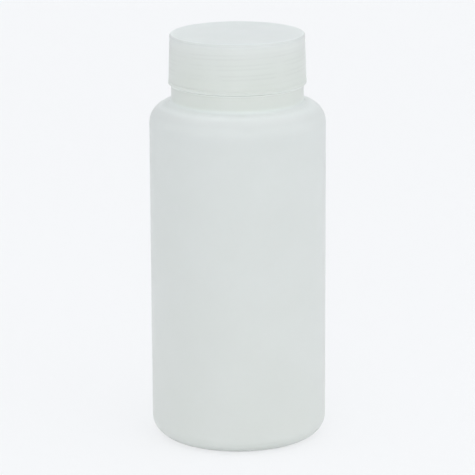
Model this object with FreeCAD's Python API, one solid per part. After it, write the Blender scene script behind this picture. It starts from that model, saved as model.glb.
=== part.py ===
import FreeCAD, Part
import math
import os

# Wide-mouth laboratory bottle, 500 ml size, with its screw cap and sealing disc.
# Millimetres, +Z up, origin in the middle of the ring that the bottle stands on.
# The thread is right-handed: turned counter-clockwise from above, the cap rises.

# Body of the bottle
body_radius = 36.5
body_wall = 1.2
corner_radius = 8.2
straight_top_z = 133.7
shoulder_land = 0.65
shoulder_slope_deg = 8.0

# Base, pushed up in the middle, with the pinched ridge across it
ring_width = 4.0
push_up = 2.6
base_wall = 1.5
pinch_length = 36.0
pinch_width = 1.1
pinch_height = 0.5

# Neck and collar
thread_root_radius = 25.3
neck_wall = 2.2
neck_height = 18.1
lip_edge = 0.5
collar_step = 2.05
collar_wall = 1.8
collar_height = 7.7
collar_edge = 0.4
neck_fillet = 1.25
bore_cone_height = 2.3

# Thread on the neck, 53 mm size with six turns to the inch
pitch = 25.4 / 6
thread_depth = 1.05
thread_foot_width = 2.2
thread_crest_width = 1.0
thread_rise = 5.3
thread_top_room = 1.6
thread_start_deg = 90.0

# Run-out at both ends of a thread, and how deep its foot sits in the wall
run_out_deg = 40.0
section_step_deg = 15.0
thread_bite = 0.3
run_out_depth = 0.1
run_out_share = 0.35

# Sealing disc in the cap
disc_thickness = 1.0
disc_play = 0.45

# Cap
cap_plate = 1.8
cap_wall = 1.25
cap_draft = 0.5
cap_edge = 0.8
cap_gap = 0.3
foot_band_height = 1.5
foot_band_depth = 0.12
foot_band_edge = 0.25
cap_inner_edge = 0.4
cap_corner_fill = 0.3

# Thread in the cap
thread_gap = 0.3
cap_thread_foot_width = 1.9
cap_thread_crest_width = 0.8
cap_thread_rise = 1.1
cap_thread_top_room = 5.1

# Base and shoulder, worked out from the sizes above
dome_rim = body_radius - corner_radius - ring_width
dome_size = (dome_rim ** 2 + push_up ** 2) / (2 * push_up)
dome_centre_z = push_up - dome_size
collar_radius = thread_root_radius + collar_step
shoulder_radius = body_radius - collar_radius - shoulder_land

# Heights of the neck and the cap, stacked from the shoulder up
collar_top_z = straight_top_z + shoulder_radius + collar_height
lip_z = collar_top_z + neck_height
cap_foot_z = collar_top_z + cap_gap
disc_top_z = lip_z + disc_thickness
cap_top_z = disc_top_z + cap_plate

# Radii of the cap, outward from the neck's thread
thread_crest_radius = thread_root_radius + thread_depth
cap_wall_radius = thread_crest_radius + thread_gap
cap_crest_radius = thread_root_radius + thread_gap
disc_radius = cap_wall_radius - disc_play
cap_top_radius = cap_wall_radius + cap_wall
cap_foot_radius = cap_top_radius + cap_draft

# Both threads follow one helix; the cap's ridge hangs below the neck's by the gap
thread_start_z = collar_top_z + thread_rise
thread_turns = (neck_height - thread_rise - thread_top_room) / pitch
flank_drop = (thread_foot_width - thread_crest_width) / 2 * thread_gap / thread_depth
cap_thread_drop = (thread_foot_width + cap_thread_crest_width) / 2 - flank_drop + thread_gap
cap_thread_start_z = cap_foot_z + cap_thread_rise
cap_thread_lead_deg = (thread_start_z - cap_thread_drop - cap_thread_start_z) / pitch * 360
cap_thread_turns = (lip_z - cap_thread_start_z - cap_thread_top_room) / pitch


class Outline:
    """Outline in the half plane, drawn from point to point and turned about the axis."""

    def __init__(self, radius, height):
        self.first = FreeCAD.Vector(radius, 0, height)
        self.last = self.first
        self.edges = []

    def line(self, radius, height):
        """Straight stretch to a point; none where the outline already stands there."""
        target = FreeCAD.Vector(radius, 0, height)
        if (target - self.last).Length > 1e-6:
            self.edges.append(Part.makeLine(self.last, target))
            self.last = target

    def arc(self, centre, size, start_deg, end_deg):
        """Round stretch about a centre, with the straight that leads up to it."""
        start, end = (spot(centre, size, angle) for angle in (start_deg, end_deg))
        circle = Part.Circle(FreeCAD.Vector(centre[0], 0, centre[1]), FreeCAD.Vector(0, -1, 0), size)
        reach = sorted((circle.parameter(start), circle.parameter(end)))
        self.line(start.x, start.z)
        self.edges.append(Part.ArcOfCircle(circle, reach[0], reach[1]).toShape())
        self.last = end

    def turned(self):
        """Solid of revolution inside the closed outline."""
        self.line(self.first.x, self.first.z)
        face = Part.Face(Part.Wire(self.edges))
        return face.revolve(FreeCAD.Vector(0, 0, 0), FreeCAD.Vector(0, 0, 1), 360)


def spot(centre, size, angle_deg):
    """Point at an angle on a circle in the half plane."""
    angle = math.radians(angle_deg)
    return FreeCAD.Vector(centre[0] + size * math.cos(angle), 0, centre[1] + size * math.sin(angle))


def dome_height(radius):
    """Height of the pushed-up base at a radius."""
    return dome_centre_z + math.sqrt(dome_size ** 2 - radius ** 2)


def neck_fillet_centre(wall_radius, size, shoulder_size):
    """Centre of the fillet between the sloping shoulder and an upright neck wall."""
    slope = math.radians(shoulder_slope_deg)
    middle = (body_radius - shoulder_radius, straight_top_z)
    edge = spot(middle, shoulder_size, 90 - shoulder_slope_deg)
    across = wall_radius + size - edge.x
    return (wall_radius + size, edge.z + (size - across * math.sin(slope)) / math.cos(slope))


def bottle_outside(outline):
    """Outside of the bottle, from the middle of the base up to the collar."""
    corner = (body_radius - corner_radius, corner_radius)
    shoulder = (body_radius - shoulder_radius, straight_top_z)
    fillet = neck_fillet_centre(collar_radius, neck_fillet, shoulder_radius)
    dome = (0, dome_centre_z)
    outline.arc(dome, dome_size, 90, math.degrees(math.acos(dome_rim / dome_size)))
    outline.arc(corner, corner_radius, -90, 0)
    outline.arc(shoulder, shoulder_radius, 0, 90 - shoulder_slope_deg)
    outline.arc(fillet, neck_fillet, 270 - shoulder_slope_deg, 180)
    edge = (collar_radius - collar_edge, collar_top_z - collar_edge)
    outline.arc(edge, collar_edge, 0, 90)


def bottle_mouth(outline):
    """Thread root, lip and bore of the neck."""
    outer_edge = (thread_root_radius - lip_edge, lip_z - lip_edge)
    bore_radius = thread_root_radius - neck_wall
    inner_edge = (bore_radius + lip_edge, lip_z - lip_edge)
    outline.line(thread_root_radius, collar_top_z)
    outline.arc(outer_edge, lip_edge, 0, 90)
    outline.arc(inner_edge, lip_edge, 90, 180)
    outline.line(bore_radius, collar_top_z)


def bottle_inside(outline):
    """Inside of the bottle, from the bore down to the middle of the floor."""
    inner_collar = collar_radius - collar_wall
    inner_fillet = neck_fillet + (body_wall + collar_wall) / 2
    inner_shoulder = shoulder_radius - body_wall
    shoulder = (body_radius - shoulder_radius, straight_top_z)
    corner = (body_radius - corner_radius, corner_radius)
    fillet = neck_fillet_centre(inner_collar, inner_fillet, inner_shoulder)
    outline.line(inner_collar, collar_top_z - bore_cone_height)
    outline.arc(fillet, inner_fillet, 180, 270 - shoulder_slope_deg)
    outline.arc(shoulder, inner_shoulder, 90 - shoulder_slope_deg, 0)
    outline.arc(corner, corner_radius - body_wall, 0, -90)
    floor_size = dome_size + base_wall
    floor_deg = math.degrees(math.asin((body_wall - dome_centre_z) / floor_size))
    outline.arc((0, dome_centre_z), floor_size, floor_deg, 90)


def pinch_ridge():
    """Low ridge across the base, where the blown tube was pinched shut."""
    reach = pinch_length / 2
    low = [FreeCAD.Vector(x, 0, dome_height(x) - pinch_height) for x in (-reach, 0, reach)]
    high = [FreeCAD.Vector(x, 0, dome_height(x) + base_wall / 2) for x in (-reach, 0, reach)]
    edges = [
        Part.Arc(*low).toShape(),
        Part.makeLine(low[2], high[2]),
        Part.Arc(high[2], high[1], high[0]).toShape(),
        Part.makeLine(high[0], low[0]),
    ]
    slab = Part.Face(Part.Wire(edges)).extrude(FreeCAD.Vector(0, pinch_width, 0))
    slab.translate(FreeCAD.Vector(0, -pinch_width / 2, 0))
    return slab


def run_out(turned_deg, whole_deg):
    """Share of the full ridge at an angle, fading softly to nothing at both ends."""
    way = min(turned_deg, whole_deg - turned_deg, run_out_deg) / run_out_deg
    return (1 - math.cos(math.pi * way)) / 2


def thread_section(wall, crest, foot_width, crest_width, share):
    """Corners of the ridge's section as (radius, height) pairs, foot first."""
    inward = math.copysign(1, crest - wall)
    foot = wall - inward * thread_bite
    tip = wall - inward * run_out_depth + (crest - wall + inward * run_out_depth) * share
    scale = run_out_share + (1 - run_out_share) * share
    foot_half = foot_width * scale / 2
    tip_half = crest_width * scale / 2
    return ((foot, -foot_half), (tip, -tip_half), (tip, tip_half), (foot, foot_half))


def thread_ridge(wall, crest, foot_width, crest_width, start_z, start_deg, turns):
    """Right-handed thread ridge on a wall, lofted through sections along its helix."""
    whole_deg = turns * 360
    count = math.ceil(whole_deg / section_step_deg)
    sections = []
    for index in range(count + 1):
        turned_deg = whole_deg * index / count
        angle = math.radians(start_deg + turned_deg)
        middle_z = start_z + pitch * turned_deg / 360
        share = run_out(turned_deg, whole_deg)
        corners = [
            FreeCAD.Vector(radius * math.cos(angle), radius * math.sin(angle), middle_z + height)
            for radius, height in thread_section(wall, crest, foot_width, crest_width, share)
        ]
        sections.append(Part.makePolygon(corners + corners[:1]))
    return Part.makeLoft(sections, True, False)


def make_bottle():
    """Blown bottle in one piece: body, shoulder, collar, threaded neck."""
    outline = Outline(0, push_up)
    bottle_outside(outline)
    bottle_mouth(outline)
    bottle_inside(outline)
    thread = thread_ridge(
        thread_root_radius,
        thread_crest_radius,
        thread_foot_width,
        thread_crest_width,
        thread_start_z,
        thread_start_deg,
        thread_turns,
    )
    return outline.turned().fuse(pinch_ridge()).fuse(thread)


def make_disc():
    """Soft sealing disc, flat between the lip and the underside of the cap."""
    return Part.makeCylinder(disc_radius, disc_thickness, FreeCAD.Vector(0, 0, lip_z))


def cap_body():
    """Cap without its thread: plate, drafted skirt and foot band."""
    outline = Outline(0, cap_top_z)
    top = (cap_top_radius - cap_edge, cap_top_z - cap_edge)
    band = cap_foot_radius + foot_band_depth
    foot = (band - foot_band_edge, cap_foot_z + foot_band_edge)
    outline.arc(top, cap_edge, 90, 0)
    outline.line(cap_foot_radius, cap_foot_z + foot_band_height + foot_band_depth)
    outline.line(band, cap_foot_z + foot_band_height)
    outline.arc(foot, foot_band_edge, 0, -90)
    outline.line(cap_wall_radius + cap_inner_edge, cap_foot_z)
    outline.line(cap_wall_radius, cap_foot_z + cap_inner_edge)
    outline.line(cap_wall_radius, disc_top_z - cap_corner_fill)
    outline.line(cap_wall_radius - cap_corner_fill, disc_top_z)
    outline.line(0, disc_top_z)
    return outline.turned()


def make_cap():
    """Screw cap in one piece with the thread inside its skirt."""
    thread = thread_ridge(
        cap_wall_radius,
        cap_crest_radius,
        cap_thread_foot_width,
        cap_thread_crest_width,
        cap_thread_start_z,
        thread_start_deg - cap_thread_lead_deg,
        cap_thread_turns,
    )
    return cap_body().fuse(thread)


os.makedirs("parts", exist_ok=True)
make_bottle().exportStep("parts/bottle.step")
make_disc().exportStep("parts/liner.step")
make_cap().exportStep("parts/cap.step")
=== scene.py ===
"""Wide-mouth laboratory bottle: looks of the blown bottle, its screw cap and its sealing disc.

Everything is in metres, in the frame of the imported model: +Z up along the axis of the bottle,
the origin in the middle of the ring that it stands on, and the viewer on the side of -Y.
"""

import logging
import math
from dataclasses import dataclass
from enum import Enum

import bmesh
import bpy
from mathutils import Matrix, Vector


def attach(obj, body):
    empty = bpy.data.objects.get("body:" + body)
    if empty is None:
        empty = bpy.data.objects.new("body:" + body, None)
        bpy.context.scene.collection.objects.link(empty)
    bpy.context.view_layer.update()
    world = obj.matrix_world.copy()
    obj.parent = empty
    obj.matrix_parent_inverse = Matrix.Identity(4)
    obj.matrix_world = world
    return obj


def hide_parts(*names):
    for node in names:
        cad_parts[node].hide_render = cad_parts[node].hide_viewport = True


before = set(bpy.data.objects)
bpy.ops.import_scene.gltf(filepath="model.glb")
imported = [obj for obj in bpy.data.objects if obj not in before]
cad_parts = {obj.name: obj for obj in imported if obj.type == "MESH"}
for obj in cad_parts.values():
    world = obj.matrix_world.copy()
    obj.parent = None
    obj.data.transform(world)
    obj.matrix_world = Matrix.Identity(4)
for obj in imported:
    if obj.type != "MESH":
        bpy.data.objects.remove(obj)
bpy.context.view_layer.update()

MM = 0.001

Point = tuple[float, float, float]
Colour = tuple[float, float, float]
Socket = bpy.types.NodeSocket
Value = bpy.types.NodeSocket | float | str | tuple[float, ...]

logging.basicConfig(level=logging.INFO, format="%(levelname)s %(name)s: %(message)s")
log = logging.getLogger("bottle")


class Facing(Enum):
    """Side of a turned wall that a thread ridge stands out on."""

    OUTWARD = 1.0
    INWARD = -1.0


class Slot(Enum):
    """Material slots of the record."""

    BOTTLE = "bottle_plastic"
    CAP = "cap_plastic"
    LINER = "liner_foam"


# Outlines that are turned about the axis


class Outline:
    """Half-plane outline of a turned piece, drawn from point to point as (radius, height).

    Each point also carries how much of a thread ridge it takes, from 0 to 1.
    """

    SHORTEST = 1e-7
    LEAD = 0.35 * MM

    def __init__(self, radius: float, height: float) -> None:
        """Start the outline.

        Args:
            radius: distance of the first point from the axis.
            height: height of the first point.
        """
        self.points: list[tuple[float, float]] = []
        self.ridged: list[float] = []
        self._add(radius, height)

    def _add(self, radius: float, height: float, ridged: float = 0.0) -> None:
        """Add a point, with the share of the ridge that it takes."""
        self.points.append((radius, height))
        self.ridged.append(ridged)

    def to(self, radius: float, height: float) -> None:
        """Straight stretch to a point, with a point near each end that keeps the shading even.

        Args:
            radius: distance of the end from the axis.
            height: height of the end.
        """
        start = self.points[-1]
        length = math.dist(start, (radius, height))
        if length < self.SHORTEST:
            return
        shares = [1.0]
        if length > 3 * self.LEAD:
            shares = [self.LEAD / length, 1 - self.LEAD / length, 1.0]
        across, rise = radius - start[0], height - start[1]
        for share in shares:
            self._add(start[0] + across * share, start[1] + rise * share)

    def bend(
        self, centre: tuple[float, float], size: float, first: float, last: float, steps: int
    ) -> None:
        """Round stretch about a centre, with the straight that leads up to it.

        Args:
            centre: radius and height of the centre.
            size: radius of the round.
            first: angle of its start in degrees, from the outward direction.
            last: angle of its end in degrees.
            steps: number of short chords.
        """
        for index in range(steps + 1):
            angle = math.radians(first + (last - first) * index / steps)
            spot = (centre[0] + size * math.cos(angle), centre[1] + size * math.sin(angle))
            if index == 0:
                self.to(*spot)
            else:
                self._add(*spot)

    def threaded_wall(self, height: float, steps: int) -> None:
        """Upright stretch that takes the thread ridge, in fine steps.

        Args:
            height: height of its end.
            steps: number of steps.
        """
        radius, start = self.points[-1]
        for index in range(1, steps + 1):
            ridged = 1.0 if index < steps else 0.0
            self._add(radius, start + (height - start) * index / steps, ridged)

    def guide(self, name: str) -> bpy.types.Object:
        """Outline as a line of mesh points that the turning tree reads.

        Args:
            name: name of the object.

        Returns:
            The object, linked to the scene.
        """
        mesh = bpy.data.meshes.new(name)
        corners = [(radius, 0.0, height) for radius, height in self.points]
        links = [(index, index + 1) for index in range(len(corners) - 1)]
        mesh.from_pydata(corners, links, [])
        attribute = mesh.attributes.new(TurningTree.RIDGED, "FLOAT", "POINT")
        attribute.data.foreach_set("value", self.ridged)
        guide = bpy.data.objects.new(name, mesh)
        bpy.context.scene.collection.objects.link(guide)
        return guide


@dataclass(frozen=True)
class Thread:
    """Right-handed thread ridge on a turned wall, with faded ends."""

    depth: float
    foot_width: float
    crest_width: float
    start_height: float
    start_angle: float
    turns: float
    facing: Facing
    pitch: float
    run_out: float = 40.0 / 360.0

    def sizes(self) -> dict[str, float]:
        """Values of the turning tree's named inputs."""
        return {
            "Ridge Depth": self.depth * self.facing.value,
            "Foot Width": self.foot_width,
            "Crest Width": self.crest_width,
            "Start Height": self.start_height,
            "Start Angle": self.start_angle,
            "Turns": self.turns,
            "Pitch": self.pitch,
            "Run-out": self.run_out,
        }


@dataclass(frozen=True)
class ScrewNeck:
    """Neck finish of the 53 mm size with six turns to the inch, shared by bottle and cap."""

    collar_top: float = 149.9 * MM
    height: float = 18.1 * MM
    root_radius: float = 25.3 * MM
    pitch: float = 25.4 / 6 * MM
    depth: float = 1.05 * MM
    foot_width: float = 2.2 * MM
    crest_width: float = 1.0 * MM
    rise: float = 5.3 * MM
    top_room: float = 1.6 * MM
    start_angle: float = math.radians(90.0)
    gap: float = 0.3 * MM
    disc_thickness: float = 1.0 * MM
    cap_rise: float = 1.1 * MM
    cap_top_room: float = 5.1 * MM
    cap_foot_width: float = 1.9 * MM
    cap_crest_width: float = 0.8 * MM

    @property
    def lip(self) -> float:
        """Height of the lip."""
        return self.collar_top + self.height

    @property
    def cap_foot(self) -> float:
        """Height of the cap's lower edge."""
        return self.collar_top + self.gap

    @property
    def underside(self) -> float:
        """Height of the underside of the cap's plate, on the sealing disc."""
        return self.lip + self.disc_thickness

    @property
    def cap_wall(self) -> float:
        """Inner radius of the cap's skirt."""
        return self.root_radius + self.depth + self.gap

    def neck_thread(self) -> Thread:
        """Thread on the neck.

        Returns:
            The ridge that stands out from the neck's wall.
        """
        return Thread(
            depth=self.depth,
            foot_width=self.foot_width,
            crest_width=self.crest_width,
            start_height=self.collar_top + self.rise,
            start_angle=self.start_angle,
            turns=(self.height - self.rise - self.top_room) / self.pitch,
            facing=Facing.OUTWARD,
            pitch=self.pitch,
        )

    def cap_thread(self) -> Thread:
        """Thread in the cap, on the same helix, hung under the neck's ridge by the gap.

        Returns:
            The ridge that stands in from the skirt's wall.
        """
        slant = (self.foot_width - self.crest_width) / 2 * self.gap / self.depth
        drop = (self.foot_width + self.cap_crest_width) / 2 - slant + self.gap
        start = self.cap_foot + self.cap_rise
        lead = (self.collar_top + self.rise - drop - start) / self.pitch
        return Thread(
            depth=self.depth,
            foot_width=self.cap_foot_width,
            crest_width=self.cap_crest_width,
            start_height=start,
            start_angle=self.start_angle - lead * math.tau,
            turns=(self.lip - start - self.cap_top_room) / self.pitch,
            facing=Facing.INWARD,
            pitch=self.pitch,
        )


NECK = ScrewNeck()


# Geometry Nodes: a turned wall with a thread ridge that follows its helix


class NodeSheet:
    """Small helper that adds nodes to a tree and wires them."""

    COLUMN, ROW, PER_ROW = 180, -260, 24
    # Places of the mix node's sockets for colours
    MIX_SHARE, MIX_FIRST, MIX_SECOND, MIX_RESULT = 0, 6, 7, 2

    def __init__(self, tree: bpy.types.NodeTree) -> None:
        """Keep the tree.

        Args:
            tree: the node tree to fill.
        """
        self.tree = tree
        self.count = 0

    def feed(self, socket: Socket, value: Value) -> None:
        """Wire an output to a socket, or set the socket's own value.

        Args:
            socket: the input to fill.
            value: an output socket or a plain value.
        """
        if isinstance(value, Socket):
            self.tree.links.new(value, socket)
        else:
            socket.default_value = value

    def add(
        self, kind: str, inputs: dict[str | int, Value] | None = None, **settings: object
    ) -> bpy.types.Node:
        """Add a node.

        Args:
            kind: the node's type.
            inputs: what its inputs take, by their name or place.
            settings: its properties, which are set first.

        Returns:
            The node.
        """
        node = self.tree.nodes.new(kind)
        row, column = divmod(self.count, self.PER_ROW)
        node.location = (self.COLUMN * column, self.ROW * row)
        self.count += 1
        for key, setting in settings.items():
            setattr(node, key, setting)
        for key, value in (inputs or {}).items():
            self.feed(node.inputs[key], value)
        return node

    def math(self, operation: str, *values: Value) -> Socket:
        """Add a math node.

        Args:
            operation: its operation.
            values: outputs or numbers for its inputs, in order.

        Returns:
            Its output.
        """
        return self.add("ShaderNodeMath", dict(enumerate(values)), operation=operation).outputs[0]

    def spread(
        self, value: Value, low: Value, high: Value, start: Value, end: Value, soft: bool
    ) -> Socket:
        """Add a clamped Map Range node.

        Args:
            value: what is mapped.
            low: value that gives start.
            high: value that gives end.
            start: result at low.
            end: result at high.
            soft: whether it eases in and out.

        Returns:
            Its result.
        """
        inputs = dict(enumerate((value, low, high, start, end)))
        kind = "SMOOTHSTEP" if soft else "LINEAR"
        node = self.add("ShaderNodeMapRange", inputs, interpolation_type=kind, clamp=True)
        return node.outputs[0]

    def split(self, vector: Socket) -> bpy.types.NodeOutputs:
        """Take a vector apart; the outputs are its X, Y and Z."""
        return self.add("ShaderNodeSeparateXYZ", {0: vector}).outputs

    def join(self, *parts: Value) -> Socket:
        """Make a vector of X, Y and Z, or of the first ones of them."""
        return self.add("ShaderNodeCombineXYZ", dict(enumerate(parts))).outputs[0]

    def mix(self, share: Value, first: Value, second: Value, blend: str = "MIX") -> Socket:
        """Mix two colours.

        Args:
            share: how much the second one counts, from 0 to 1.
            first: the colour that is changed.
            second: the colour that changes it.
            blend: how they are blended.

        Returns:
            The mixed colour.
        """
        inputs = {self.MIX_SHARE: share, self.MIX_FIRST: first, self.MIX_SECOND: second}
        node = self.add("ShaderNodeMix", inputs, data_type="RGBA", blend_type=blend)
        return node.outputs[self.MIX_RESULT]


class TurningTree:
    """Geometry Nodes tree that turns an outline about the axis and raises a thread on it."""

    SIZES = (
        "Ridge Depth", "Foot Width", "Crest Width", "Start Height",
        "Start Angle", "Turns", "Pitch", "Run-out",
    )
    # Without a thread the ridge has no depth, and these keep its sums finite
    PLAIN_WALL = {"Pitch": 1.0 * MM, "Run-out": 1.0}
    RIDGED = "ridged"
    WELD = 2e-6
    # Width of a thread's faded end, as a share of its full width
    END_WIDTH = 0.35

    def __init__(self) -> None:
        """Build the tree once; every turned piece uses it."""
        self.tree = bpy.data.node_groups.new("turned_wall", "GeometryNodeTree")
        self._sockets()
        self._fill()

    def _sockets(self) -> None:
        """Named inputs and the result."""
        face = self.tree.interface
        face.new_socket("Outline", in_out="INPUT", socket_type="NodeSocketGeometry")
        face.new_socket("Columns", in_out="INPUT", socket_type="NodeSocketInt")
        for name in self.SIZES:
            face.new_socket(name, in_out="INPUT", socket_type="NodeSocketFloat")
        face.new_socket("Finish", in_out="INPUT", socket_type="NodeSocketMaterial")
        face.new_socket("Piece", in_out="OUTPUT", socket_type="NodeSocketGeometry")

    def _fill(self) -> None:
        """Wire the tree: a grid of outline points by columns, bent round the axis."""
        sheet = NodeSheet(self.tree)
        given = sheet.add("NodeGroupInput").outputs
        position = sheet.add("GeometryNodeInputPosition").outputs[0]
        outline = {0: given["Outline"]}
        size = sheet.add("GeometryNodeAttributeDomainSize", outline, component="MESH")
        count = size.outputs["Point Count"]
        rows = sheet.math("ADD", given["Columns"], 1.0)
        flat = {"Size X": 1.0, "Size Y": 1.0, "Vertices X": count, "Vertices Y": rows}
        grid = sheet.add("GeometryNodeMeshGrid", flat).outputs["Mesh"]

        place = sheet.split(position)
        along = sheet.math("ADD", place[0], 0.5)
        around = sheet.math("ADD", place[1], 0.5)
        last = sheet.math("SUBTRACT", count, 1.0)
        index = sheet.math("ROUND", sheet.math("MULTIPLY", along, last))
        angle = sheet.math("MULTIPLY", around, math.tau)
        spot = self._look_up(sheet, given, position, index, "FLOAT_VECTOR")
        radius, _, height = sheet.split(spot)
        name = {"Name": self.RIDGED}
        named = sheet.add("GeometryNodeInputNamedAttribute", name, data_type="FLOAT")
        takes = self._look_up(sheet, given, named.outputs["Attribute"], index, "FLOAT")

        ridge = self._ridge(sheet, given, angle, height)
        reach = sheet.math("ADD", radius, sheet.math("MULTIPLY", ridge, takes))
        across = sheet.math("MULTIPLY", reach, sheet.math("COSINE", angle))
        deep = sheet.math("MULTIPLY", reach, sheet.math("SINE", angle))
        target = sheet.join(across, deep, height)

        made = grid
        for kind, extra in (
            ("GeometryNodeSetPosition", {"Position": target}),
            ("GeometryNodeMergeByDistance", {"Distance": self.WELD}),
            ("GeometryNodeSetShadeSmooth", {}),
            ("GeometryNodeRealizeInstances", {}),
            ("GeometryNodeSetMaterial", {"Material": given["Finish"]}),
        ):
            made = sheet.add(kind, {"Geometry": made, **extra}).outputs[0]
        sheet.add("NodeGroupOutput", {0: made})

    @staticmethod
    def _look_up(
        sheet: NodeSheet, given: bpy.types.NodeOutputs, value: Socket, index: Socket, kind: str
    ) -> Socket:
        """Value that a point of the outline has.

        Args:
            sheet: the tree's helper.
            given: the tree's inputs.
            value: what is read there.
            index: number of the point.
            kind: type of the value.

        Returns:
            The value.
        """
        inputs = {"Geometry": given["Outline"], "Value": value, "Index": index}
        node = sheet.add("GeometryNodeSampleIndex", inputs, data_type=kind, domain="POINT")
        return node.outputs[0]

    @classmethod
    def _ridge(
        cls, sheet: NodeSheet, given: bpy.types.NodeOutputs, angle: Socket, height: Socket
    ) -> Socket:
        """Height of the thread ridge at a point of the wall.

        Args:
            sheet: the tree's helper.
            given: the tree's inputs.
            angle: angle of the point about the axis.
            height: height of the point.

        Returns:
            How far the wall is moved out or in there.
        """
        past = sheet.math("SUBTRACT", angle, given["Start Angle"])
        turned = sheet.math("DIVIDE", past, math.tau)
        part_turn = sheet.math("SUBTRACT", turned, sheet.math("FLOOR", turned))
        above = sheet.math("SUBTRACT", height, given["Start Height"])
        climbed = sheet.math("DIVIDE", above, given["Pitch"])
        whole = sheet.math("ROUND", sheet.math("SUBTRACT", climbed, part_turn))
        course = sheet.math("ADD", whole, part_turn)
        off = sheet.math("ABSOLUTE", sheet.math("SUBTRACT", climbed, course))
        aside = sheet.math("MULTIPLY", off, given["Pitch"])
        left = sheet.math("MINIMUM", course, sheet.math("SUBTRACT", given["Turns"], course))
        share = sheet.spread(left, 0.0, given["Run-out"], 0.0, 1.0, soft=True)
        half = sheet.math("MULTIPLY_ADD", share, (1 - cls.END_WIDTH) / 2, cls.END_WIDTH / 2)
        foot = sheet.math("MULTIPLY", given["Foot Width"], half)
        crest = sheet.math("MULTIPLY", given["Crest Width"], half)
        straight = sheet.spread(aside, foot, crest, 0.0, 1.0, soft=False)
        eased = sheet.spread(aside, foot, crest, 0.0, 1.0, soft=True)
        flank = sheet.math("MULTIPLY", sheet.math("ADD", straight, eased), 0.5)
        full = sheet.math("MULTIPLY", given["Ridge Depth"], share)
        return sheet.math("MULTIPLY", full, flank)

    def turn(
        self,
        name: str,
        outline: Outline,
        columns: int,
        finish: bpy.types.Material,
        thread: Thread | None = None,
    ) -> bpy.types.Object:
        """Turn an outline into a plain mesh object at the origin.

        Args:
            name: name of the piece.
            outline: its outline.
            columns: number of columns round the axis.
            finish: its material.
            thread: the ridge on its threaded stretch, if it has one.

        Returns:
            The finished object.
        """
        guide = outline.guide(name + "_guide")
        modifier = guide.modifiers.new("turned", "NODES")
        modifier.node_group = self.tree
        values: dict[str, object] = {"Columns": columns, "Finish": finish}
        values.update(thread.sizes() if thread else self.PLAIN_WALL)
        for item in self.tree.interface.items_tree:
            if item.in_out == "INPUT" and item.name in values:
                modifier[item.identifier] = values[item.name]
        bpy.context.view_layer.update()
        evaluated = guide.evaluated_get(bpy.context.evaluated_depsgraph_get())
        mesh = bpy.data.meshes.new_from_object(evaluated)
        mesh.name = name
        guide.modifiers.remove(modifier)
        bpy.data.objects.remove(guide)
        piece = bpy.data.objects.new(name, mesh)
        bpy.context.scene.collection.objects.link(piece)
        return piece


# Finishes


def solid(colour: Colour) -> tuple[float, ...]:
    """Colour as a socket takes it, with no transparency."""
    return (*colour, 1.0)


@dataclass(frozen=True)
class Noise:
    """Cloudy pattern in a piece's own coordinates: waves per metre, octaves and their strength."""

    scale: float
    detail: float = 2.0
    roughness: float = 0.5

    def add(self, sheet: NodeSheet, where: Socket) -> Socket:
        """Add the texture.

        Args:
            sheet: the tree's helper.
            where: coordinates of the piece.

        Returns:
            Its value, from 0 to 1.
        """
        inputs = {"Vector": where, "Scale": self.scale, "Detail": self.detail}
        inputs["Roughness"] = self.roughness
        return sheet.add("ShaderNodeTexNoise", inputs).outputs[0]


@dataclass(frozen=True)
class PaintedThreadShade:
    """Painted shade: faint dark lines in the cap's skirt, where the flanks of the neck's thread
    show through its plastic.

    They fade out a little past the ends of the thread, and are patchy along their way.
    """

    thread: Thread
    strength: float
    width: float
    flank: float
    skirt_radius: float = 27.0 * MM
    fade_inside: float = 0.2
    fade_outside: float = 0.6
    patches: Noise = Noise(95.0)
    patch_low: float = 0.4
    patch_high: float = 0.62
    faintest: float = 0.05
    shade: Colour = (0.0, 0.0, 0.0)

    def darken(self, sheet: NodeSheet, where: Socket, colour: Socket) -> Socket:
        """Paint the thread's shade into a colour along its helix.

        Args:
            sheet: the tree's helper.
            where: coordinates of the piece.
            colour: the plastic's colour.

        Returns:
            The banded colour.
        """
        across, deep, height = sheet.split(where)
        pitch, turns = self.thread.pitch, self.thread.turns
        past = sheet.math("SUBTRACT", sheet.math("ARCTAN2", deep, across), self.thread.start_angle)
        turned = sheet.math("DIVIDE", past, math.tau)
        above = sheet.math("SUBTRACT", height, self.thread.start_height)
        climbed = sheet.math("DIVIDE", above, pitch)
        phase = sheet.math("SUBTRACT", climbed, turned)
        off = sheet.math("ABSOLUTE", sheet.math("SUBTRACT", phase, sheet.math("ROUND", phase)))
        aside = sheet.math("ABSOLUTE", sheet.math("SUBTRACT", off, self.flank / pitch))
        band = sheet.spread(aside, 0.0, self.width / pitch, 1.0, 0.0, soft=True)
        low = sheet.spread(climbed, -self.fade_outside, self.fade_inside, 0.0, 1.0, soft=True)
        fade_start, fade_end = turns - self.fade_inside, turns + self.fade_outside
        high = sheet.spread(climbed, fade_start, fade_end, 1.0, 0.0, soft=True)
        flat = sheet.join(across, deep)
        length = sheet.add("ShaderNodeVectorMath", {0: flat}, operation="LENGTH")
        skirt = sheet.math("GREATER_THAN", length.outputs["Value"], self.skirt_radius)
        clouds = self.patches.add(sheet, where)
        span = (self.patch_low, self.patch_high)
        patch = sheet.spread(clouds, *span, self.faintest, 1.0, soft=True)
        share: Value = self.strength
        for factor in (band, patch, skirt, low, high):
            share = sheet.math("MULTIPLY", factor, share)
        return sheet.mix(share, colour, solid(self.shade), "MULTIPLY")


@dataclass(frozen=True)
class DenseRing:
    """Ring of the wall where light gets less deep in, so that it looks whiter.

    It counts in full up to its reach above and below its height, and fades over as much again.
    """

    height: float
    reach: float
    depth: float


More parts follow.
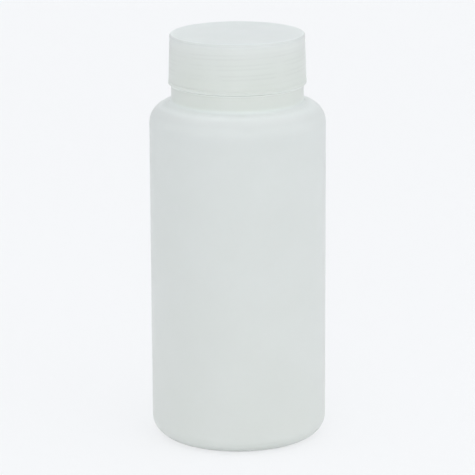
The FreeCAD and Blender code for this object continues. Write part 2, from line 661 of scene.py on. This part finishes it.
@dataclass(frozen=True)
class MilkyPlastic:
    """Natural polyolefin: milky, slightly translucent, with a soft satin skin.

    Its tone follows the height and carries painted light and shade, and its dense rings look
    whiter. The mould's seam shows outside the seam radius, and not at all where that is 0.
    """

    name: str
    # Colours by height, among them painted light and shade
    tones_and_painted_light: tuple[tuple[float, Colour], ...]
    roughness: float
    roughness_swing: float
    transmission: float
    subsurface: float
    scatter_depth: float
    grain: float
    waviness: float
    seam_radius: float = 0.0
    seam_width: float = 0.14 * MM
    seam_height: float = 0.05 * MM
    index: float = 1.5
    # Painted shade of a thread seen through the wall, if there is one
    painted_thread_shade: PaintedThreadShade | None = None
    dense_rings: tuple[DenseRing, ...] = ()
    clouds: Noise = Noise(34.0, 4.0, 0.55)
    cloud_low: float = 0.35
    cloud_high: float = 0.65
    cloud_tint: Colour = (0.985, 0.985, 0.98)
    smudges: Noise = Noise(90.0, 3.0)
    smudge_low: float = 0.3
    smudge_high: float = 0.7
    grains: Noise = Noise(2600.0)
    waves: Noise = Noise(60.0, 2.0, 0.4)

    def build(self) -> bpy.types.Material:
        """Make the node material.

        Returns:
            The material.
        """
        material = bpy.data.materials.new(self.name)
        material.use_nodes = True
        material.node_tree.nodes.clear()
        sheet = NodeSheet(material.node_tree)
        where = sheet.add("ShaderNodeTexCoord").outputs["Object"]
        height = sheet.split(where)[2]

        clouds = self.clouds.add(sheet, where)
        share = sheet.spread(clouds, self.cloud_low, self.cloud_high, 0.0, 1.0, soft=True)
        # The tone by height holds painted light and shade; the clouds are the plastic's own uneven
        # tone
        tone = sheet.mix(share, self._painted_light_tone(sheet, height), solid(self.cloud_tint), "MULTIPLY")
        # Painted shade of the neck's thread, seen through the cap's skirt
        if self.painted_thread_shade:
            tone = self.painted_thread_shade.darken(sheet, where, tone)
        smudges = self.smudges.add(sheet, where)
        low, high = self.roughness - self.roughness_swing, self.roughness + self.roughness_swing
        rough = sheet.spread(smudges, self.smudge_low, self.smudge_high, low, high, soft=True)

        inputs = {
            "Base Color": tone,
            "Roughness": rough,
            "IOR": self.index,
            "Transmission Weight": self.transmission,
            "Subsurface Weight": self.subsurface,
            "Subsurface Radius": (1.0, 1.0, 1.0),
            "Subsurface Scale": self._depth(sheet, height),
            "Normal": self._skin(sheet, where),
        }
        surface = sheet.add("ShaderNodeBsdfPrincipled", inputs)
        sheet.add("ShaderNodeOutputMaterial", {"Surface": surface.outputs[0]})
        return material

    def _depth(self, sheet: NodeSheet, height: Socket) -> Value:
        """Depth of the scatter, smaller in the dense rings.

        Args:
            sheet: the tree's helper.
            height: height of the point.

        Returns:
            One depth, or an output that follows the height.
        """
        depth: Value = self.scatter_depth
        for ring in self.dense_rings:
            off = sheet.math("ABSOLUTE", sheet.math("SUBTRACT", height, ring.height))
            end = 2 * ring.reach
            here = sheet.spread(off, ring.reach, end, ring.depth, self.scatter_depth, soft=True)
            depth = sheet.math("MINIMUM", depth, here)
        return depth

    def _painted_light_tone(self, sheet: NodeSheet, height: Socket) -> Socket:
        """Colour by height, with the painted light and shade in it.

        Args:
            sheet: the tree's helper.
            height: height of the point.

        Returns:
            The colour.
        """
        low, high = self.tones_and_painted_light[0][0], self.tones_and_painted_light[-1][0]
        share = sheet.spread(height, low, high, 0.0, 1.0, soft=False)
        ramp = sheet.add("ShaderNodeValToRGB", {0: share})
        stops = ramp.color_ramp.elements
        stops[0].color = solid(self.tones_and_painted_light[0][1])
        stops[1].color = solid(self.tones_and_painted_light[-1][1])
        for level, colour in self.tones_and_painted_light[1:-1]:
            stops.new((level - low) / (high - low)).color = solid(colour)
        return ramp.outputs[0]

    @staticmethod
    def _bump(
        sheet: NodeSheet, relief: Socket, distance: float, under: Socket | None = None
    ) -> Socket:
        """Relief as a normal.

        Args:
            sheet: the tree's helper.
            relief: the relief, from 0 to 1.
            distance: its height.
            under: the normal that it lies on, if not the wall's own.

        Returns:
            The bumped normal.
        """
        inputs = {"Strength": 1.0, "Distance": distance, "Height": relief}
        if under is not None:
            inputs["Normal"] = under
        return sheet.add("ShaderNodeBump", inputs).outputs[0]

    def _skin(self, sheet: NodeSheet, where: Socket) -> Socket:
        """Fine grain, the slow waves of a moulded wall and the mould's seam, as a normal.

        Args:
            sheet: the tree's helper.
            where: coordinates.

        Returns:
            The bumped normal.
        """
        fine = self._bump(sheet, self.grains.add(sheet, where), self.grain)
        broad = self._bump(sheet, self.waves.add(sheet, where), self.waviness, fine)
        if self.seam_radius <= 0.0:
            return broad
        across, deep, _ = sheet.split(where)
        off = sheet.math("ABSOLUTE", deep)
        line = sheet.spread(off, 0.0, self.seam_width, 1.0, 0.0, soft=True)
        outer = sheet.math("GREATER_THAN", sheet.math("ABSOLUTE", across), self.seam_radius)
        return self._bump(sheet, sheet.math("MULTIPLY", line, outer), self.seam_height, broad)


# The bottle


@dataclass
class BlownBottle:
    """Bottle blown in one piece: base with a pinched ridge, body, shoulder, collar and neck."""

    body_radius: float = 36.5 * MM
    body_wall: float = 1.2 * MM
    corner_radius: float = 8.2 * MM
    straight_top: float = 133.7 * MM
    shoulder_radius: float = 8.5 * MM
    shoulder_slope: float = 8.0
    ring_width: float = 4.0 * MM
    push_up: float = 2.6 * MM
    base_wall: float = 1.5 * MM
    pinch_length: float = 36.0 * MM
    pinch_width: float = 1.1 * MM
    pinch_height: float = 0.5 * MM
    pinch_root: float = 0.15 * MM
    pinch_taper: float = 9.0
    pinch_end_width: float = 0.35
    pinch_fullness: float = 0.7
    collar_radius: float = 27.35 * MM
    collar_wall: float = 1.8 * MM
    collar_edge: float = 0.4 * MM
    neck_fillet: float = 1.25 * MM
    bore_radius: float = 23.1 * MM
    cone_height: float = 2.3 * MM
    lip_edge: float = 0.5 * MM
    columns: int = 256
    dome_steps: int = 14
    round_steps: int = 18
    fillet_steps: int = 8
    inner_fillet_steps: int = 10
    edge_steps: int = 5
    thread_steps: int = 150
    pinch_steps: int = 36
    pinch_ring: int = 9
    neck: ScrewNeck = NECK

    def dome(self) -> tuple[float, float, float]:
        """Pushed-up middle of the base, which is part of a sphere.

        Returns:
            Radius of its rim, radius of the sphere and height of the sphere's centre.
        """
        rim = self.body_radius - self.corner_radius - self.ring_width
        size = (rim**2 + self.push_up**2) / (2 * self.push_up)
        return rim, size, self.push_up - size

    def fillet_centre(self, wall: float, size: float, shoulder: float) -> tuple[float, float]:
        """Centre of the fillet between the sloping shoulder and an upright wall.

        Args:
            wall: radius of the upright wall.
            size: radius of the fillet.
            shoulder: radius of the shoulder's round.

        Returns:
            Radius and height of the centre.
        """
        slope = math.radians(self.shoulder_slope)
        middle = self.body_radius - self.shoulder_radius
        edge = (middle + shoulder * math.sin(slope), self.straight_top + shoulder * math.cos(slope))
        across = wall + size - edge[0]
        return wall + size, edge[1] + (size - across * math.sin(slope)) / math.cos(slope)

    def outline(self) -> Outline:
        """Outline from the middle of the base, up the outside and down the inside.

        Returns:
            The outline.
        """
        rim, dome, centre = self.dome()
        root, edge = self.neck.root_radius, self.lip_edge
        collar_top, lip_round = self.neck.collar_top, self.neck.lip - edge
        corner = (self.body_radius - self.corner_radius, self.corner_radius)
        shoulder = (self.body_radius - self.shoulder_radius, self.straight_top)
        top, foot = 90.0 - self.shoulder_slope, 270.0 - self.shoulder_slope

        line = Outline(0.0, self.push_up)
        rim_angle = math.degrees(math.acos(rim / dome))
        line.bend((0.0, centre), dome, 90.0, rim_angle, self.dome_steps)
        line.bend(corner, self.corner_radius, -90.0, 0.0, self.round_steps)
        line.bend(shoulder, self.shoulder_radius, 0.0, top, self.round_steps)
        outer = self.fillet_centre(self.collar_radius, self.neck_fillet, self.shoulder_radius)
        line.bend(outer, self.neck_fillet, foot, 180.0, self.fillet_steps)
        brow = (self.collar_radius - self.collar_edge, collar_top - self.collar_edge)
        line.bend(brow, self.collar_edge, 0.0, 90.0, self.edge_steps)
        line.to(root, collar_top)
        line.threaded_wall(lip_round, self.thread_steps)
        line.bend((root - edge, lip_round), edge, 0.0, 90.0, self.edge_steps)

        line.bend((self.bore_radius + edge, lip_round), edge, 90.0, 180.0, self.edge_steps)
        line.to(self.bore_radius, collar_top)
        inner_collar = self.collar_radius - self.collar_wall
        line.to(inner_collar, collar_top - self.cone_height)
        inner_fillet = self.neck_fillet + (self.body_wall + self.collar_wall) / 2
        inner_shoulder = self.shoulder_radius - self.body_wall
        inner = self.fillet_centre(inner_collar, inner_fillet, inner_shoulder)
        line.bend(inner, inner_fillet, 180.0, foot, self.inner_fillet_steps)
        line.bend(shoulder, inner_shoulder, top, 0.0, self.round_steps)
        inner_corner = self.corner_radius - self.body_wall
        line.bend(corner, inner_corner, 0.0, -90.0, self.round_steps)
        floor = dome + self.base_wall
        floor_angle = math.degrees(math.asin((self.body_wall - centre) / floor))
        line.bend((0.0, centre), floor, floor_angle, 90.0, self.dome_steps)
        return line

    def pinch_ridge(self) -> bpy.types.Mesh:
        """Low rounded ridge across the base, its top sunk in the wall.

        Returns:
            The ridge's mesh.
        """
        _, size, centre = self.dome()
        steps, ring, root = self.pinch_steps, self.pinch_ring, self.pinch_root
        corners: list[Point] = []
        for index in range(steps + 1):
            x = (index / steps - 0.5) * self.pinch_length
            end = min(1.0, (1 - abs(2 * index / steps - 1)) * self.pinch_taper)
            swell = math.sqrt(max(0.0, 1 - (1 - end) ** 2))
            share = self.pinch_end_width + (1 - self.pinch_end_width) * swell
            base = centre + math.sqrt(size**2 - x**2)
            for turn in range(ring):
                angle = math.pi * turn / (ring - 1)
                drop = math.sin(angle) ** self.pinch_fullness * self.pinch_height * swell
                across = -math.cos(angle) * self.pinch_width / 2 * share
                corners.append((x, across, base + root - drop - root * swell))

        faces: list[tuple[int, ...]] = []
        for index in range(steps):
            for turn in range(ring - 1):
                a = index * ring + turn
                faces.append((a, a + 1, a + ring + 1, a + ring))
        for start in (0, steps * ring):
            faces.append(tuple(start + turn for turn in range(ring)))
        for near in range(0, steps * ring, ring):
            faces.append((near, near + ring, near + 2 * ring - 1, near + ring - 1))
        mesh = bpy.data.meshes.new("pinch_ridge")
        mesh.from_pydata(corners, [], faces)
        mesh.shade_smooth()
        return mesh

    def build(self, turning: TurningTree, finish: MilkyPlastic) -> bpy.types.Object:
        """Make the bottle and tie it to the frame.

        Args:
            turning: the tree that turns outlines.
            finish: the bottle's plastic.

        Returns:
            The bottle.
        """
        material = finish.build()
        thread = self.neck.neck_thread()
        piece = turning.turn("bottle_shell", self.outline(), self.columns, material, thread)
        join_into(piece, self.pinch_ridge(), material)
        point_outward(piece)
        tie(piece, "bottle", "bottle")
        return piece


# The cap


@dataclass
class ScrewCap:
    """Screw cap in one piece: plate, drafted skirt, foot band, thread inside.

    The plate's rings are radii at which its wide flat faces are divided.
    """

    plate: float = 1.8 * MM
    plate_rings: tuple[float, ...] = (9.0 * MM, 18.0 * MM)
    wall: float = 1.25 * MM
    draft: float = 0.5 * MM
    edge: float = 0.8 * MM
    band_height: float = 1.5 * MM
    band_depth: float = 0.12 * MM
    band_edge: float = 0.25 * MM
    inner_edge: float = 0.4 * MM
    corner_fill: float = 0.3 * MM
    over_thread: float = 2.0 * MM
    columns: int = 256
    edge_steps: int = 8
    band_steps: int = 5
    thread_steps: int = 120
    neck: ScrewNeck = NECK

    def outline(self) -> Outline:
        """Outline from the middle of the top, down the outside and up the inside.

        Returns:
            The outline.
        """
        inner, low, high = self.neck.cap_wall, self.neck.cap_foot, self.neck.underside
        top, top_radius = high + self.plate, inner + self.wall
        foot_radius = top_radius + self.draft
        band = foot_radius + self.band_depth
        line = Outline(0.0, top)
        for radius in self.plate_rings:
            line.to(radius, top)
        brow = (top_radius - self.edge, top - self.edge)
        line.bend(brow, self.edge, 90.0, 0.0, self.edge_steps)
        line.to(foot_radius, low + self.band_height + self.band_depth)
        line.to(band, low + self.band_height)
        toe = (band - self.band_edge, low + self.band_edge)
        line.bend(toe, self.band_edge, 0.0, -90.0, self.band_steps)
        line.to(inner + self.inner_edge, low)
        line.to(inner, low + self.inner_edge)
        thread_top = self.neck.lip - self.neck.cap_top_room
        line.threaded_wall(thread_top + self.over_thread, self.thread_steps)
        line.to(inner, high - self.corner_fill)
        line.to(inner - self.corner_fill, high)
        for radius in reversed((0.0, *self.plate_rings)):
            line.to(radius, high)
        return line

    def build(self, turning: TurningTree, finish: MilkyPlastic) -> bpy.types.Object:
        """Make the cap and tie it to the frame.

        Args:
            turning: the tree that turns outlines.
            finish: the cap's plastic.

        Returns:
            The cap.
        """
        thread = self.neck.cap_thread()
        piece = turning.turn("screw_cap", self.outline(), self.columns, finish.build(), thread)
        point_outward(piece)
        tie(piece, "cap", "cap")
        return piece


# The sealing disc


@dataclass
class SealingDisc:
    """Soft foamed disc between the lip and the underside of the cap."""

    play: float = 0.45 * MM
    edge: float = 0.15 * MM
    ring: float = 12.0 * MM
    columns: int = 128
    edge_steps: int = 4
    neck: ScrewNeck = NECK

    def outline(self) -> Outline:
        """Outline from the middle of the underside round to the middle of the top.

        Returns:
            The outline.
        """
        low, high = self.neck.lip, self.neck.underside
        middle = self.neck.cap_wall - self.play - self.edge
        line = Outline(0.0, low)
        line.to(self.ring, low)
        line.bend((middle, low + self.edge), self.edge, -90.0, 0.0, self.edge_steps)
        line.bend((middle, high - self.edge), self.edge, 0.0, 90.0, self.edge_steps)
        line.to(self.ring, high)
        line.to(0.0, high)
        return line

    def build(self, turning: TurningTree, finish: MilkyPlastic) -> bpy.types.Object:
        """Make the disc and tie it to the frame.

        Args:
            turning: the tree that turns outlines.
            finish: the disc's foam.

        Returns:
            The disc.
        """
        piece = turning.turn("sealing_disc", self.outline(), self.columns, finish.build())
        point_outward(piece)
        tie(piece, "liner", "liner")
        return piece


# Making and tying pieces


def join_into(
    piece: bpy.types.Object, extra: bpy.types.Mesh, material: bpy.types.Material
) -> None:
    """Add a mesh to a piece.

    Args:
        piece: the piece that takes it.
        extra: the mesh to add.
        material: its material.
    """
    extra.materials.append(material)
    work = bmesh.new()
    work.from_mesh(piece.data)
    work.from_mesh(extra)
    work.to_mesh(piece.data)
    work.free()
    bpy.data.meshes.remove(extra)


def point_outward(piece: bpy.types.Object) -> None:
    """Point the faces of a closed mesh outward.

    Args:
        piece: the piece.
    """
    work = bmesh.new()
    work.from_mesh(piece.data)
    bmesh.ops.recalc_face_normals(work, faces=work.faces[:])
    work.to_mesh(piece.data)
    work.free()
    for polygon in piece.data.polygons:
        polygon.use_smooth = True


def tie(piece: bpy.types.Object, body: str, node: str) -> None:
    """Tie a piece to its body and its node.

    Args:
        piece: the piece.
        body: body that it moves with.
        node: node of the frame that it stands for.
    """
    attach(piece, body)
    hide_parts(node)
    log.info("%s: %d faces, rides on %s", piece.name, len(piece.data.polygons), body)


# Studio


@dataclass
class Sweep:
    """Pale floor that bends up into a backdrop."""

    half_width: float = 2.4
    front: float = -2.2
    back: float = 1.6
    bend: float = 0.9
    bend_steps: int = 12
    height: float = 2.6
    drop: float = -0.05 * MM
    colour: Colour = (0.93, 0.94, 0.95)
    shown: Colour = (0.938, 0.947, 0.965)
    own_light: float = 0.72
    clouds: Noise = Noise(3.0)
    cloud_tone: float = 0.985

    def finish(self) -> bpy.types.Material:
        """Pale paper that the camera sees near its own colour, with the object's shadow.

        Returns:
            The material.
        """
        material = bpy.data.materials.new("sweep_paper")
        material.use_nodes = True
        material.node_tree.nodes.clear()
        sheet = NodeSheet(material.node_tree)
        clouds = self.clouds.add(sheet, sheet.add("ShaderNodeTexCoord").outputs["Object"])
        darker = tuple(self.cloud_tone * part for part in self.colour)
        tone = sheet.mix(clouds, solid(self.colour), solid(darker))
        matt = sheet.add("ShaderNodeBsdfDiffuse", {"Color": tone})
        glow = sheet.add("ShaderNodeEmission", {"Color": solid(self.shown), "Strength": 1.0})
        path = sheet.add("ShaderNodeLightPath").outputs
        seen = sheet.math("MAXIMUM", path["Is Camera Ray"], path["Is Transmission Ray"])
        seen = sheet.math("MAXIMUM", seen, path["Is Glossy Ray"])
        share = sheet.math("MULTIPLY", seen, self.own_light)
        both = sheet.add("ShaderNodeMixShader", {0: share, 1: matt.outputs[0], 2: glow.outputs[0]})
        sheet.add("ShaderNodeOutputMaterial", {"Surface": both.outputs[0]})
        return material

    def build(self) -> bpy.types.Object:
        """Make the sweep.

        Returns:
            The floor and backdrop as one object.
        """
        foot = self.back - self.bend
        path = [(self.front, self.drop), (foot, self.drop)]
        for index in range(1, self.bend_steps + 1):
            angle = math.pi / 2 * index / self.bend_steps
            rise = self.drop + self.bend - self.bend * math.cos(angle)
            path.append((foot + self.bend * math.sin(angle), rise))
        path.append((self.back, self.height))
        corners = [(x, y, z) for y, z in path for x in (-self.half_width, self.half_width)]
        faces = [(2 * i, 2 * i + 1, 2 * i + 3, 2 * i + 2) for i in range(len(path) - 1)]
        mesh = bpy.data.meshes.new("floor_sweep")
        mesh.from_pydata(corners, [], faces)
        mesh.shade_smooth()
        mesh.materials.append(self.finish())
        floor = bpy.data.objects.new("floor_sweep", mesh)
        bpy.context.scene.collection.objects.link(floor)
        return floor


@dataclass(frozen=True)
class SoftLight:
    """Large soft lamp that points at the bottle."""

    name: str
    place: Point
    size: tuple[float, float]
    power: float
    colour: Colour = (1.0, 1.0, 1.0)
    aim: Point = (0.0, 0.0, 0.09)

    def build(self) -> bpy.types.Object:
        """Make the lamp.

        Returns:
            The lamp.
        """
        lamp = bpy.data.lights.new(self.name, "AREA")
        lamp.shape = "RECTANGLE"
        lamp.size, lamp.size_y = self.size
        lamp.energy = self.power
        lamp.color = self.colour
        holder = bpy.data.objects.new(self.name, lamp)
        bpy.context.scene.collection.objects.link(holder)
        holder.location = self.place
        view = Vector(self.aim) - holder.location
        holder.rotation_euler = view.to_track_quat("-Z", "Y").to_euler()
        return holder


@dataclass(frozen=True)
class PhotoCamera:
    """Camera at the photograph's angle, worked out from the outline of the bottle."""

    distance: float = 1.2303
    elevation: float = 14.367
    aim: Point = (-0.00027, 0.0, 0.08413)
    focal_pixels: float = 2945.0
    photo_side: float = 475.0
    roll: float = 0.279
    sensor: float = 36.0
    nearest: float = 0.01
    farthest: float = 20.0

    def build(self) -> bpy.types.Object:
        """Make the camera and set it as the scene's own.

        Returns:
            The camera.
        """
        data = bpy.data.cameras.new("photo_camera")
        data.sensor_width = self.sensor
        data.lens = self.focal_pixels / self.photo_side * self.sensor
        data.clip_start, data.clip_end = self.nearest, self.farthest
        camera = bpy.data.objects.new("photo_camera", data)
        bpy.context.scene.collection.objects.link(camera)
        rise = math.radians(self.elevation)
        back = Vector((0.0, -math.cos(rise), math.sin(rise)))
        place = Matrix.Translation(Vector(self.aim) + back * self.distance)
        turn = (-back).to_track_quat("-Z", "Y").to_matrix().to_4x4()
        spin = Matrix.Rotation(math.radians(-self.roll), 4, "Z")
        camera.matrix_world = place @ turn @ spin
        bpy.context.scene.camera = camera
        return camera


@dataclass
class Studio:
    """Sweep, lamps, surrounding light and camera."""

    ambient_left: float = 0.885
    ambient_right: float = 1.03
    ambient_colour: Colour = (0.97, 0.985, 1.0)
    lamps: tuple[SoftLight, ...] = (
        SoftLight("key_right", (0.95, -0.95, 0.75), (0.9, 0.9), 1.3),
        SoftLight("front", (-0.15, -1.7, 0.5), (1.2, 0.9), 4.6),
    )

    def room(self) -> bpy.types.World:
        """Even light all round, a little weaker from the left.

        Returns:
            The world.
        """
        world = bpy.data.worlds.new("soft_room")
        world.use_nodes = True
        world.node_tree.nodes.clear()
        sheet = NodeSheet(world.node_tree)
        across = sheet.split(sheet.add("ShaderNodeTexCoord").outputs["Generated"])[0]
        level = sheet.spread(across, -1.0, 1.0, self.ambient_left, self.ambient_right, soft=False)
        inputs = {"Color": solid(self.ambient_colour), "Strength": level}
        light = sheet.add("ShaderNodeBackground", inputs)
        sheet.add("ShaderNodeOutputWorld", {"Surface": light.outputs[0]})
        return world

    def build(self) -> None:
        """Make everything round the bottle."""
        bpy.context.scene.world = self.room()
        Sweep().build()
        for lamp in self.lamps:
            lamp.build()
        PhotoCamera().build()
        bpy.context.scene.view_settings.view_transform = "Standard"


# The three plastics, with their tones by height; the bottle's and cap's carry painted light and
# shade

# Painted light for the gap between the cap's foot and the collar, which lies in shade under the
# foot's overhang
GAP_PAINTED_LIGHT: Colour = (0.95, 0.99, 0.96)
# Painted light for the fillet where the shoulder meets the collar, which lies in shade under the
# collar and cap
SHOULDER_PAINTED_LIGHT: Colour = (0.86, 0.914, 0.895)

BOTTLE_PLASTIC = MilkyPlastic(
    name="bottle_plastic",
    tones_and_painted_light=(
        (0.0, (0.79, 0.832, 0.787)),
        (60.0 * MM, (0.785, 0.829, 0.797)),
        (125.0 * MM, (0.776, 0.822, 0.799)),
        (138.5 * MM, (0.768, 0.816, 0.796)),
        (140.6 * MM, (0.83, 0.885, 0.865)),
        # Painted light in the fillet between shoulder and collar, where shade falls
        (141.4 * MM, SHOULDER_PAINTED_LIGHT),
        (142.9 * MM, SHOULDER_PAINTED_LIGHT),
        # Painted shade on the collar above the fillet, offsetting light scattered up from the
        # fillet; darker towards the gap
        (143.7 * MM, (0.78, 0.828, 0.785)),
        (144.4 * MM, (0.752, 0.79, 0.752)),
        (148.8 * MM, (0.745, 0.776, 0.739)),
        (149.5 * MM, (0.738, 0.769, 0.732)),
        # Painted light on the collar's top, in the gap under the cap's foot, where shade falls
        (149.8 * MM, GAP_PAINTED_LIGHT),
        (150.2 * MM, GAP_PAINTED_LIGHT),
        (151.4 * MM, (0.79, 0.835, 0.795)),
        (169.0 * MM, (0.79, 0.835, 0.795)),
    ),
    roughness=0.42,
    roughness_swing=0.05,
    transmission=0.08,
    subsurface=1.0,
    scatter_depth=3.0 * MM,
    grain=0.004 * MM,
    waviness=0.03 * MM,
    seam_radius=22.0 * MM,
    dense_rings=(
        DenseRing(142.2 * MM, 1.0 * MM, 1.8 * MM),
        DenseRing(150.3 * MM, 0.7 * MM, 0.35 * MM),
    ),
)
CAP_PLASTIC = MilkyPlastic(
    name="cap_plastic",
    tones_and_painted_light=(
        # Painted light on the lower edge of the cap's foot, beside the shaded gap
        (150.2 * MM, GAP_PAINTED_LIGHT),
        (150.35 * MM, (0.82, 0.86, 0.82)),
        (150.6 * MM, (0.722, 0.757, 0.718)),
        (151.5 * MM, (0.725, 0.76, 0.722)),
        (152.5 * MM, (0.76, 0.798, 0.757)),
        (157.0 * MM, (0.766, 0.805, 0.765)),
        (164.0 * MM, (0.80, 0.845, 0.803)),
        (168.0 * MM, (0.832, 0.88, 0.843)),
        # Painted shade on the rounded rim of the top, which offsets the rim's edge highlight
        (169.6 * MM, (0.775, 0.815, 0.79)),
        (170.2 * MM, (0.672, 0.70, 0.688)),
        (170.7 * MM, (0.685, 0.715, 0.70)),
        # Painted light on the top plate, which makes it lighter than the skirt
        (170.8 * MM, (0.853, 0.925, 0.90)),
    ),
    roughness=0.36,
    roughness_swing=0.05,
    transmission=0.12,
    subsurface=1.0,
    scatter_depth=3.0 * MM,
    grain=0.003 * MM,
    waviness=0.012 * MM,
    # Painted shade of the neck's thread, seen through the skirt
    painted_thread_shade=PaintedThreadShade(NECK.neck_thread(), strength=0.035, width=0.7 * MM, flank=0.8 * MM),
    dense_rings=(
        DenseRing(150.0 * MM, 0.3 * MM, 0.5 * MM),
        DenseRing(170.8 * MM, 0.1 * MM, 2.4 * MM),
    ),
)
LINER_FOAM = MilkyPlastic(
    name="liner_foam",
    tones_and_painted_light=((168.0 * MM, (0.86, 0.88, 0.88)), (169.0 * MM, (0.87, 0.89, 0.89))),
    roughness=0.7,
    roughness_swing=0.08,
    transmission=0.0,
    subsurface=0.4,
    scatter_depth=0.5 * MM,
    grain=0.02 * MM,
    waviness=0.01 * MM,
)


def main() -> None:
    """Build the pieces in order: bottle, disc, cap, studio."""
    turning = TurningTree()
    BlownBottle().build(turning, BOTTLE_PLASTIC)
    SealingDisc().build(turning, LINER_FOAM)
    ScrewCap().build(turning, CAP_PLASTIC)
    Studio().build()


if __name__ == "__main__":
    main()
